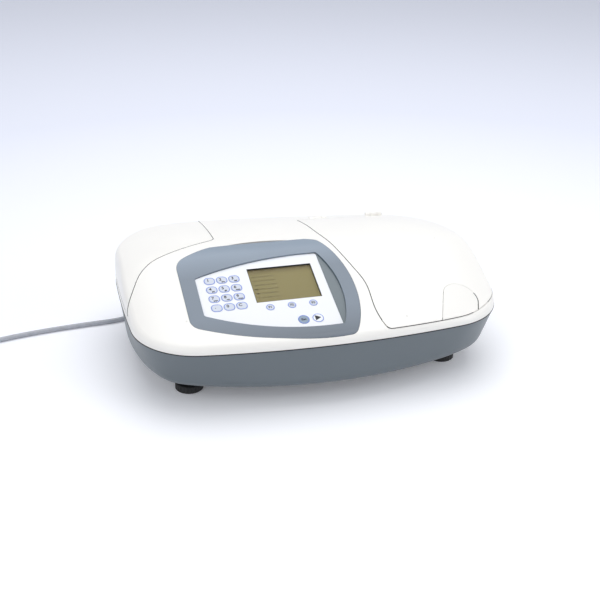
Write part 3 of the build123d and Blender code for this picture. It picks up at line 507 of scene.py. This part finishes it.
def reach_to_arc(angle, half_chord, top, bow):
    """Ray from the middle to a bowed side: the larger root for the side's own circle."""
    radius = (half_chord ** 2 + bow ** 2) / (2 * bow)
    along = np.cos(angle) * (top - radius)
    return along + np.sqrt(along ** 2 - (top - radius) ** 2 + radius ** 2)


def floor_reach(angle):
    """Floor outline: the four bowed sides' reaches, joined by a power mean that rounds corners."""
    long_half, deep_half = HULL_FLOOR_HALF
    end_bow, front_bow = HULL_FLOOR_BOWS
    reaches = [reach_to_arc(angle - turn, deep_half - front_bow, long_half, end_bow) for turn in (0, np.pi)]
    reaches += [reach_to_arc(angle - turn, long_half - end_bow, deep_half, front_bow)
                for turn in (np.pi / 2, -np.pi / 2)]
    powers = sum(reach ** -HULL_FLOOR_CORNER for reach in reaches)
    return powers ** (-1 / HULL_FLOOR_CORNER)


def rim_reach(angle):
    """Rim outline of the CAD tray: its outermost ring, sampled along the edges, by angle."""
    mesh = bpy.data.objects["base_tray"].data
    points = np.array([vertex.co[:] for vertex in mesh.vertices])
    ring = points[points[:, 2] > points[:, 2].max() - 0.0001, :2]
    ring = ring[convex_hull_2d(ring.tolist())]
    share = np.linspace(0, 1, 60, endpoint=False)[:, None, None]
    dense = (ring + share * (np.roll(ring, -1, axis=0) - ring)).reshape(-1, 2)
    turns = np.arctan2(dense[:, 1], dense[:, 0])
    order = np.argsort(turns)
    lengths = np.linalg.norm(dense, axis=1)
    return np.interp(angle, turns[order], lengths[order], period=2 * np.pi)


def hull_block(name, inset, top):
    """Closed tray form: rim and floor outlines joined by straight walls, with a round lower edge."""
    angle = np.arange(HULL_STATIONS) * 2 * np.pi / HULL_STATIONS
    rim_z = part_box("base_tray")[1][2]
    rim = rim_reach(angle)
    front = np.clip((0.06 - rim * np.sin(angle)) / 0.10, 0, 1)
    end = np.clip((np.abs(rim * np.cos(angle)) - 0.172) / 0.05, 0, 1)
    low = rim + (floor_reach(angle) - rim) * np.maximum(front, end)
    low_z = HULL_FLOOR_Z + inset
    edge = HULL_EDGE - inset
    turn = np.linspace(0, np.pi / 2, 9)
    levels = np.concatenate([np.linspace(rim_z, low_z + edge, 5)[:-1], low_z + edge * (1 - np.sin(turn))])
    insets = np.concatenate([np.zeros(4), edge * (1 - np.cos(turn))]) + inset
    rings = []
    for level, inward in zip(levels, insets):
        share = (level - low_z) / (rim_z - low_z)
        reach = low + (rim - low) * share - inward
        rings.append(np.column_stack([reach * np.cos(angle), reach * np.sin(angle), np.full(HULL_STATIONS, level)]))
    if top > rim_z:
        rings.insert(0, rings[0] * (1, 1, 0) + (0, 0, top))
    count = len(rings)
    i = np.repeat(np.arange(count - 1), HULL_STATIONS)
    j = np.tile(np.arange(HULL_STATIONS), count - 1)
    beside = (j + 1) % HULL_STATIONS
    here = i * HULL_STATIONS
    walls = np.column_stack([here + j, here + HULL_STATIONS + j, here + HULL_STATIONS + beside, here + beside])
    caps = [list(range(HULL_STATIONS)), list(range(count * HULL_STATIONS - 1, (count - 1) * HULL_STATIONS - 1, -1))]
    mesh = bpy.data.meshes.new(name)
    mesh.from_pydata(np.vstack(rings).tolist(), [], walls.tolist() + caps)
    return mesh


def box_mesh(name, low, high):
    """Box between two corners."""
    corners = [(x, y, z) for z in (low[2], high[2]) for y in (low[1], high[1]) for x in (low[0], high[0])]
    faces = [(0, 2, 3, 1), (4, 5, 7, 6), (0, 1, 5, 4), (2, 6, 7, 3), (0, 4, 6, 2), (1, 3, 7, 5)]
    mesh = bpy.data.meshes.new(name)
    mesh.from_pydata(corners, [], faces)
    return mesh


def rod_mesh(name, radius, x, y, low, high, count=32):
    """Upright rod: two circles and the quads between them."""
    angle = np.arange(count) * 2 * np.pi / count
    circle = np.column_stack([x + radius * np.cos(angle), y + radius * np.sin(angle)])
    points = np.vstack([np.column_stack([circle, np.full(count, level)]) for level in (low, high)])
    around = np.arange(count)
    after = (around + 1) % count
    walls = np.column_stack([around, after, after + count, around + count])
    mesh = bpy.data.meshes.new(name)
    mesh.from_pydata(points.tolist(), [], [*walls.tolist(), around[::-1].tolist(), (around + count).tolist()])
    return mesh


def carved(block, *cutters):
    """Mesh of a block less each cutter, by Boolean modifiers that are applied and removed."""
    shape = bpy.data.objects.new("carving", block)
    bpy.context.collection.objects.link(shape)
    tools = []
    for cutter in cutters:
        tool = bpy.data.objects.new("cutter", cutter)
        bpy.context.collection.objects.link(tool)
        tools.append(tool)
        step = shape.modifiers.new("cut", "BOOLEAN")
        step.operation = "DIFFERENCE"
        step.solver = "EXACT"
        step.object = tool
    bpy.context.view_layer.update()
    result = bpy.data.meshes.new_from_object(shape.evaluated_get(bpy.context.evaluated_depsgraph_get()))
    for used in (shape, *tools):
        bpy.data.objects.remove(used)
    return result


def edge_normals(node, keep):
    """Edges between outer skin and gap wall, and each end's place and mean skin and wall normals.

    The skin is the face that looks further away from the middle of the case."""
    shape = bmesh.new()
    shape.from_mesh(bpy.data.objects[node].data)
    bmesh.ops.remove_doubles(shape, verts=shape.verts, dist=1e-6)
    edges = []
    ends = {}
    for edge in shape.edges:
        middle = (edge.verts[0].co + edge.verts[1].co) / 2
        outward = (middle - CASE_MIDDLE).normalized()
        if len(edge.link_faces) != 2 or edge.calc_length() < 1e-5 or not keep(middle):
            continue
        wall, skin = sorted((face.normal for face in edge.link_faces), key=outward.dot)
        if skin.dot(outward) < 0.62 or wall.dot(skin) > 0.6 or wall.y > 0.7:
            continue
        edges.append([vertex.index for vertex in edge.verts])
        for vertex in edge.verts:
            sums = ends.setdefault(vertex.index, [vertex.co.copy(), Vector(), Vector()])
            sums[1] += skin
            sums[2] += wall
    shape.free()
    return edges, {index: (at, skin.normalized(), wall.normalized()) for index, (at, skin, wall) in ends.items()}


def gap_shade_bar(name, node, body, width, keep=lambda middle: True):
    """Painted shadow in the gap round a cover: a thin black bar that follows the cover's upper edge, standing in
    for the shade down in the gap.
    """
    edges, ends = edge_normals(node, keep)
    order = {index: place for place, index in enumerate(ends)}
    profile = ((-GAP_SHADE_ROOT, GAP_SHADE_SINK), (width, GAP_SHADE_SINK), (width, GAP_SHADE_SINK + GAP_SHADE_DEPTH), (-GAP_SHADE_ROOT, GAP_SHADE_SINK + GAP_SHADE_DEPTH))
    points = [at + wall * out - skin * sink for at, skin, wall in ends.values() for out, sink in profile]
    faces = []
    for first, second in edges:
        a, b = 4 * order[first], 4 * order[second]
        faces += [(a + j, a + (j + 1) % 4, b + (j + 1) % 4, b + j) for j in range(4)]
    uses = [index for pair in edges for index in pair]
    faces += [tuple(4 * order[index] + j for j in range(4)) for index in ends if uses.count(index) == 1]
    coordinates = np.array([point[:] for point in points])
    made = piece(name, coordinates, np.array(faces), seal_and_gap_shade_black, body, False)
    shape = bmesh.new()
    shape.from_mesh(made.data)
    bmesh.ops.recalc_face_normals(shape, faces=shape.faces)
    shape.to_mesh(made.data)
    shape.free()
    return made


def lid_seam():
    """Test for points of the lid's own seam: not in the port cover's mouth, nor at the hinge."""
    low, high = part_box("port_cover")
    hinge_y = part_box("hinge_pins")[0][1] - 0.008
    return lambda middle: middle.y < hinge_y and not (
        low[0] - 0.002 < middle.x < high[0] + 0.002 and middle.y < high[1] + 0.002)


def hull_skin():
    """Lower tray whose walls taper to the floor at the front and the corners, over the CAD tray."""
    rim_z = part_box("base_tray")[1][2]
    frame_low = (RECESS_LOW[0] - RECESS_WALL, RECESS_LOW[1] - RECESS_WALL, 0.0)
    frame_high = (RECESS_HIGH[0] + RECESS_WALL, RECESS_HIGH[1], rim_z)
    room = carved(hull_block("room", HULL_WALL, rim_z + 0.01), box_mesh("frame", frame_low, frame_high))
    ledge_low = (RECESS_LOW[0] + PANEL_LEDGE, RECESS_LOW[1] - 2 * RECESS_WALL, RECESS_LOW[2] + PANEL_LEDGE)
    ledge_high = (RECESS_HIGH[0] - PANEL_LEDGE, RECESS_HIGH[1], RECESS_HIGH[2] - PANEL_LEDGE)
    cutters = [room, box_mesh("recess", RECESS_LOW, RECESS_HIGH), box_mesh("ledge", ledge_low, ledge_high)]
    cutters += [rod_mesh("hole", FOOT_STUD, sx * FOOT_AT[0], sy * FOOT_AT[1], 0.0, 0.05)
                for sx in (-1, 1) for sy in (-1, 1)]
    mesh = carved(hull_block("tray_skin", 0.0, rim_z), *cutters)
    mesh.name = "tray_skin"
    mesh.polygons.foreach_set("use_smooth", np.full(len(mesh.polygons), True))
    mesh.set_sharp_from_angle(angle=math.radians(35))
    made = bpy.data.objects.new("tray_skin", mesh)
    bpy.context.collection.objects.link(made)
    made.data.materials.clear()
    made.data.materials.append(hull_grey.material)
    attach(made, "chassis")
    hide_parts("base_tray")
    return made


def seam_bead():
    """Outer bead of the black seal: the rim's outline carried outwards by a small T profile."""
    angle = np.arange(HULL_STATIONS) * 2 * np.pi / HULL_STATIONS
    rim = rim_reach(angle)
    low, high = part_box("base_tray")[1][2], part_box("top_casing")[0][2]
    profile = [
        (-0.0012, low + 0.00005), (-0.0012, high - 0.00005), (0.0001, high - 0.00005), (0.0001, high + 0.00015),
        (0.0004, high), (0.0005, (low + high) / 2), (0.0004, low), (0.0001, low - 0.00015), (0.0001, low + 0.00005),
    ]
    points = np.stack([
        np.column_stack([(rim + out) * np.cos(angle), (rim + out) * np.sin(angle), np.full(HULL_STATIONS, level)])
        for out, level in profile
    ], axis=1).reshape(-1, 3)
    faces = ring_faces(HULL_STATIONS, len(profile))
    return piece("seal_bead", points, faces, seal_and_gap_shade_black, "chassis", False)


hull_skin()
seam_bead()
# Painted shadow: black bars in the gaps round the lid and the covers stand in for the shade down in the gaps.
gap_shade_bar("lid_gap_shade", "sample_lid", "lid", 0.00085, lid_seam())
gap_shade_bar("lamp_cover_gap_shade", "lamp_cover", "lamp_cover", 0.00065)
gap_shade_bar("port_gap_shade", "port_cover", "port_cover", 0.0004)

DIGITS = {"point": ".", "sign": "C"}
LETTERS = {"2": "abc", "3": "def", "4": "ghi", "5": "jkl", "6": "mno", "7": "pqrs", "8": "tuv", "9": "wxyz"}
for index, name in enumerate(NUMBER_KEYS):
    centre = (KEY_FIRST[0] + KEY_PITCH * (index % 3), KEY_FIRST[1] - KEY_PITCH * (index // 3))
    body = f"key_{name}"
    printed_ring(f"ring_{name}", centre, KEY_HALF[:2], KEY_HALF[2], body)
    digit_at = (centre[0] - 0.0018, centre[1] + 0.0014)
    printed_text(f"digit_{name}", DIGITS.get(name, name), 0.0066, digit_at, body)
    if name in LETTERS:
        letters_at = (centre[0] + 0.0014, centre[1] - 0.0033)
        printed_text(f"letters_{name}", LETTERS[name], 0.0032, letters_at, body)
for index in range(3):
    centre = (SOFT_FIRST[0] + SOFT_PITCH * index, SOFT_FIRST[1])
    body = f"key_soft_{index + 1}"
    printed_ring(f"ring_soft_{index + 1}", centre, (SOFT_HALF, SOFT_HALF), SOFT_HALF, body)
    printed_text(f"mark_soft_{index + 1}", f"F{index + 1}", 0.0052, centre, body)
for index, (name, words, size) in enumerate((("stop", "Esc", 0.0050), ("start", "▶", 0.0095))):
    centre = (ROUND_FIRST[0] + ROUND_PITCH * index, ROUND_FIRST[1])
    body = f"key_{name}"
    printed_ring(f"ring_{name}", centre, (ROUND_HALF, ROUND_HALF), ROUND_HALF, body)
    printed_text(f"mark_{name}", words, size, centre, body)


def screen_shade_lining():
    """Black lining of the display opening, partly a dark frame and partly painted shade for the recess walls'
    shadow: the opening's outline carried round a thin wall.
    """
    outer = rounded(SCREEN_HALF[0] + 0.0001, SCREEN_HALF[1] + 0.0001, 0.0006, 0.0)
    inner = rounded(SCREEN_HALF[0] - 0.0003, SCREEN_HALF[1] - 0.0003, 0.0006, 0.0)
    corners = [(inner, -0.0027), (inner, -0.00005), (outer, -0.00005), (outer, -0.0027)]
    flat = np.stack([
        np.column_stack([line[0] + SCREEN_CENTRE[0], line[1] + SCREEN_CENTRE[1], np.full(48, height)])
        for line, height in corners
    ], axis=1).reshape(-1, 3)
    return piece("screen_shade_lining", on_keypad(flat), ring_faces(48, 4), lining_shade_black, "chassis", False)


screen_shade_lining()

# Mains lead: the route of the CAD's tube, then the turns of the put-away coil
LEAD_DIAMETER = 0.007
ROUTE = [
    (-0.130, 0.212, 0.058),
    (-0.130, 0.238, 0.058),
    (-0.131, 0.264, 0.047),
    (-0.138, 0.284, 0.027),
    (-0.152, 0.296, 0.008),
    (-0.176, 0.294, 0.0035),
    (-0.198, 0.274, 0.0035),
    (-0.206, 0.240, 0.0035),
    (-0.200, 0.204, 0.0035),
    (-0.199, 0.168, 0.0035),
    (-0.214, 0.138, 0.0035),
    (-0.245, 0.1235, 0.0035),
    (-0.290, 0.121, 0.0035),
    (-0.345, 0.116, 0.0035),
    (-0.400, 0.107, 0.0035),
    (-0.445, 0.095, 0.0035),
    (-0.475, 0.082, 0.0035),
    (-0.500, 0.0765, 0.0035),
]
COIL_CENTRE = (-0.512, 0.118)
COIL_RADII = (0.0415, 0.0345)
STEPS = 12


def coil_turn(radius, height, next_radius, next_height, start, steps):
    """Clockwise turn: radius and height stay, then change evenly over the last quarter."""
    index = np.arange(steps)
    angle = start - index * 2 * np.pi / STEPS
    share = np.clip((index - steps + 4) / 4, 0, 1)
    reach = (radius + (next_radius - radius) * share) / math.cos(math.pi / STEPS)
    rise = height + (next_height - height) * share
    return np.column_stack([
        COIL_CENTRE[0] + reach * np.cos(angle), COIL_CENTRE[1] + reach * np.sin(angle), rise])


def lead():
    wide, narrow = COIL_RADII
    levels = [0.0035, 0.0105, 0.0175]
    path = [
        (wide, levels[0], narrow, levels[0]),
        (narrow, levels[0], narrow, levels[1]),
        (narrow, levels[1], wide, levels[1]),
        (wide, levels[1], wide, levels[2]),
        (wide, levels[2], narrow, levels[2]),
        (narrow, levels[2], narrow, levels[2]),
    ]
    start = math.radians(-105)
    turns = [coil_turn(*step, start, STEPS) for step in path]
    turns.append(coil_turn(narrow, levels[2], wide, levels[2], start, 3))
    plug_low, plug_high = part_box("mains_plug")
    relief_tip = ((plug_low[0] + plug_high[0]) / 2, plug_high[1], (plug_low[2] + plug_high[2]) / 2)
    points = np.vstack([np.array(ROUTE), *turns, relief_tip])
    curve = bpy.data.curves.new("mains_lead", "CURVE")
    curve.dimensions = "3D"
    curve.bevel_depth = LEAD_DIAMETER / 2
    curve.bevel_resolution = 4
    curve.resolution_u = 5
    curve.use_fill_caps = True
    spline = curve.splines.new("NURBS")
    spline.points.add(len(points) - 1)
    spline.points.foreach_set("co", np.column_stack([points, np.ones(len(points))]).ravel())
    spline.order_u = 3
    spline.use_endpoint_u = True
    made = bpy.data.objects.new("mains_lead", curve)
    bpy.context.collection.objects.link(made)
    curve.materials.append(cord_grey.material)
    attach(made, "chassis")
    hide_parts("cord_run", "cord_coil")
    return made


lead()


FLOOR_GLOW = (0.11, 0.11, 0.115, 1.0)
SURROUND = (0.86, 0.88, 0.93, 1.0)
SURROUND_LIGHT = 0.55


def floor_finish():
    """Pale floor, nearly white round the object and cooler further off, as the sweep in the photo: a painted pool
    of light with painted falloff.
    """
    pool_lit_near = linear(250, 251, 254)
    falloff_far = linear(222, 226, 239)
    made = Finish("floor_pale", pool_lit_near, 0.9)
    away = made.node("ShaderNodeVectorMath", {"operation": "DISTANCE"}, {
        0: made.place, 1: (0.05, -0.25, 0.0)}, "Value")
    # Painted light: the floor's colour darkens with distance, a painted pool of light round the object.
    made.set("Base Color", made.mix(away.below(0.85, 1.2), falloff_far, pool_lit_near))
    rays = made.tree.nodes.new("ShaderNodeLightPath")
    seen = [Reading(made, rays.outputs[name]) for name in (
        "Is Camera Ray", "Is Glossy Ray", "Is Transmission Ray")]
    share = made.node("ShaderNodeMath", {"operation": "ADD", "use_clamp": True}, {
        0: seen[0] + seen[1], 1: seen[2]})
    made.set("Emission Color", made.mix(share, linear(0, 0, 0), FLOOR_GLOW))
    made.shader.inputs["Emission Strength"].default_value = 1.0
    return made


def studio():
    """Floor, three soft lamps and a white surround."""
    half = 8.0
    corners = np.array([(-half, -half, 0.0), (half, -half, 0.0), (half, half, 0.0), (-half, half, 0.0)])
    mesh = bpy.data.meshes.new("floor")
    mesh.from_pydata(corners.tolist(), [], [(0, 1, 2, 3)])
    floor = bpy.data.objects.new("floor", mesh)
    bpy.context.collection.objects.link(floor)
    mesh.materials.append(floor_finish().material)
    lamps = (
        ("softbox_above", (0.2, 0.5, 2.2), (0.0, 0.0, 0.1), 2.4, 32.0),
        ("softbox_left", (-2.2, -1.4, 1.6), (0.0, 0.0, 0.1), 1.6, 15.0),
        ("softbox_right", (2.2, -1.6, 1.3), (0.0, 0.0, 0.1), 1.6, 17.0),
    )
    for name, place, aim, size, power in lamps:
        light = bpy.data.lights.new(name, "AREA")
        light.shape = "SQUARE"
        light.size = size
        light.energy = power
        made = bpy.data.objects.new(name, light)
        bpy.context.collection.objects.link(made)
        made.location = place
        away = np.array(place) - np.array(aim)
        made.rotation_euler = (
            math.acos(away[2] / np.linalg.norm(away)), 0.0, math.atan2(away[1], away[0]) + math.pi / 2)
    world = bpy.data.worlds.new("surround")
    bpy.context.scene.world = world
    world.use_nodes = True
    nodes = world.node_tree.nodes
    links = world.node_tree.links
    sky = nodes["Background"]
    sky.inputs["Color"].default_value = SURROUND
    rays = nodes.new("ShaderNodeLightPath")
    total = rays.outputs["Is Camera Ray"]
    for name in ("Is Glossy Ray", "Is Transmission Ray"):
        added = nodes.new("ShaderNodeMath")
        added.use_clamp = True
        links.new(total, added.inputs[0])
        links.new(rays.outputs[name], added.inputs[1])
        total = added.outputs[0]
    level = nodes.new("ShaderNodeMapRange")
    links.new(total, level.inputs["Value"])
    level.inputs["To Min"].default_value = SURROUND_LIGHT
    level.inputs["To Max"].default_value = 1.0
    links.new(level.outputs["Result"], sky.inputs["Strength"])


def camera():
    """Camera from its turn: back vector from azimuth and elevation, then a roll about it."""
    azimuth, elevation, roll = (math.radians(value) for value in CAMERA_TURN)
    back = np.array([
        math.sin(azimuth) * math.cos(elevation),
        -math.cos(azimuth) * math.cos(elevation),
        math.sin(elevation),
    ])
    right = np.cross((0, 0, 1), back)
    right = right / np.linalg.norm(right)
    up = np.cross(back, right)
    right, up = (
        math.cos(roll) * right + math.sin(roll) * up,
        -math.sin(roll) * right + math.cos(roll) * up,
    )
    data = bpy.data.cameras.new("camera")
    data.lens = CAMERA_LENS
    data.sensor_width = 36.0
    data.clip_start = 0.05
    data.clip_end = 40.0
    made = bpy.data.objects.new("camera", data)
    bpy.context.collection.objects.link(made)
    turn = np.eye(4)
    turn[:3, 0] = right
    turn[:3, 1] = up
    turn[:3, 2] = back
    turn[:3, 3] = CAMERA_AT
    made.matrix_world = Matrix(turn.tolist())
    bpy.context.scene.camera = made


studio()
camera()
bpy.context.scene.view_settings.view_transform = "Standard"
